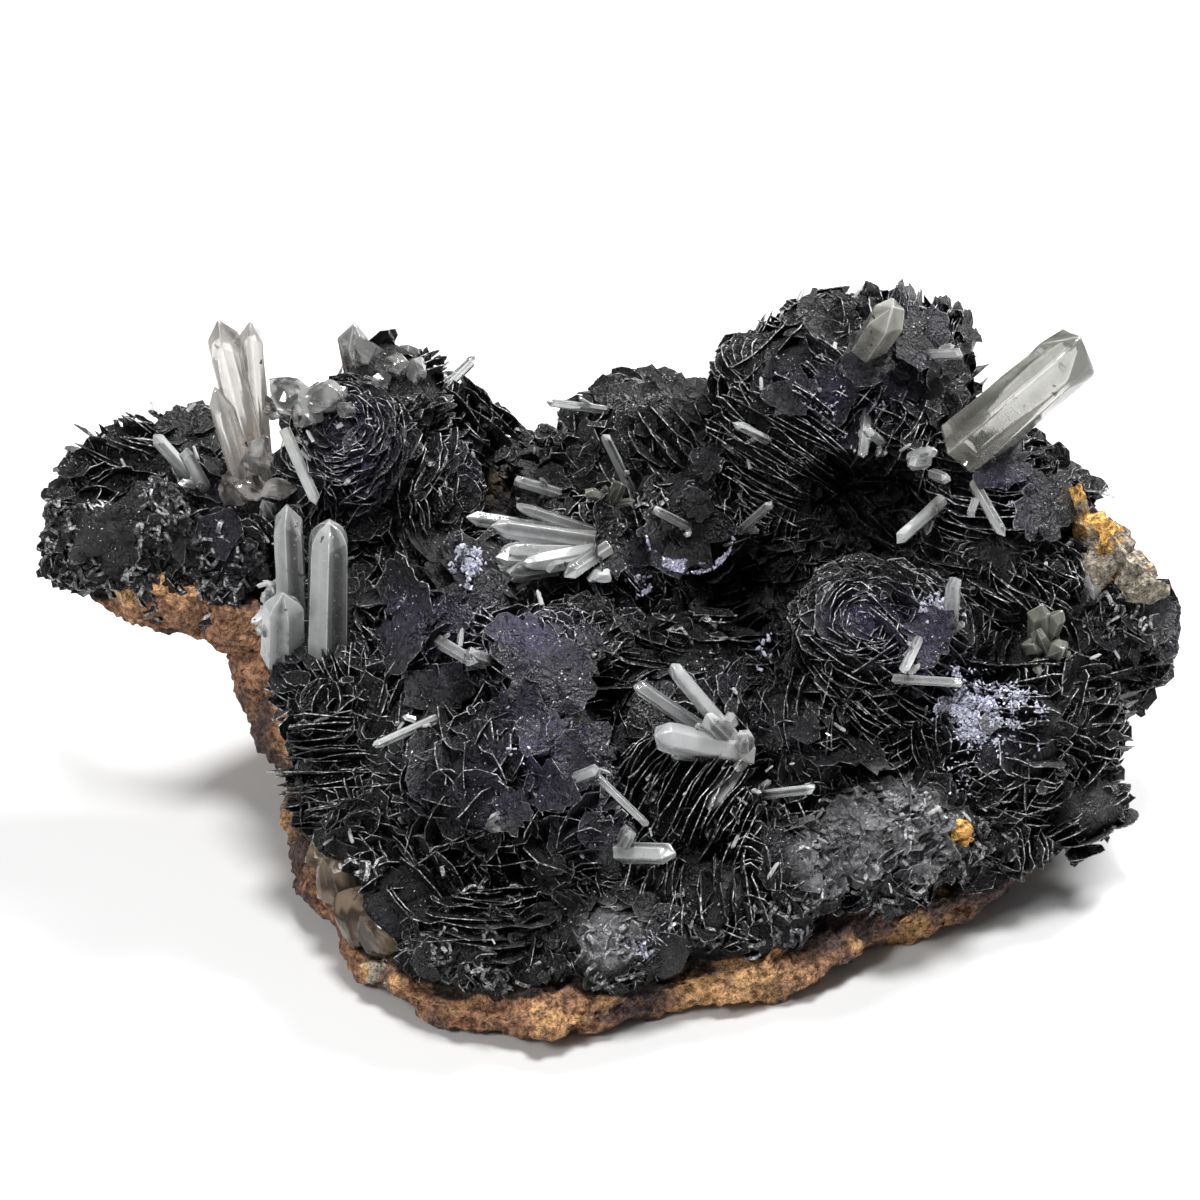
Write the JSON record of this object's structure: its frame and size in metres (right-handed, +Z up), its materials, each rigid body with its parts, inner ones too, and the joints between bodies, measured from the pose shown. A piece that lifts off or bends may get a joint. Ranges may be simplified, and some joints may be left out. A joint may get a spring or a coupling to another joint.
{
  "type": "hematite rose specimen",
  "caption": "Loose cluster of black hematite rosettes made of thin intergrown plates, with clear quartz points, on a flat-bottomed piece of brown limonite rock.",
  "frame": {"origin": "a point on the flat resting face, near its middle", "axes": "+X to the right and +Y away from a viewer who faces the specimen's front, +Z up from the surface it rests on"},
  "size_m": [0.1636, 0.1069, 0.081],
  "materials": {
    "hematite": "black iron oxide plates with a sub-metallic lustre, bright thin rims and a violet cast in places",
    "limonite_rock": "rough porous brown rock, matte, with ochre and dark stains",
    "quartz": "clear to slightly milky quartz with flat glassy faces"
  },
  "bodies": {
    "root": {"limonite_matrix": "limonite_rock", "hematite_roses": "hematite", "quartz_spires": "quartz", "quartz_arm_left": "quartz", "quartz_arm_right": "quartz", "quartz_crest_block": "quartz", "quartz_crest_point": "quartz", "quartz_crest_chip": "quartz", "quartz_hanging_left": "quartz", "quartz_front_pair": "quartz", "quartz_skyline_left": "quartz", "quartz_skyline_mid": "quartz", "quartz_inner_stub": "quartz", "quartz_spray": "quartz", "quartz_violet_stub": "quartz", "quartz_crest_finger": "quartz", "quartz_yellow_cross": "quartz", "quartz_bowl_stub": "quartz", "quartz_fan": "quartz", "quartz_thin_front": "quartz", "quartz_grey_front": "quartz", "quartz_small_front": "quartz", "quartz_stub_front": "quartz", "quartz_thin_right": "quartz", "quartz_tooth_right": "quartz", "quartz_bar_right": "quartz", "quartz_green_pair": "quartz", "quartz_peak_point": "quartz", "quartz_large_right": "quartz", "quartz_peak_bar": "quartz", "quartz_right_short": "quartz", "quartz_right_long": "quartz", "quartz_hanging_mid": "quartz", "quartz_hanging_right": "quartz", "quartz_upper_chip": "quartz", "quartz_bowl_right": "quartz", "quartz_front_prism": "quartz", "quartz_front_twin": "quartz"}
  },
  "joints": []
}
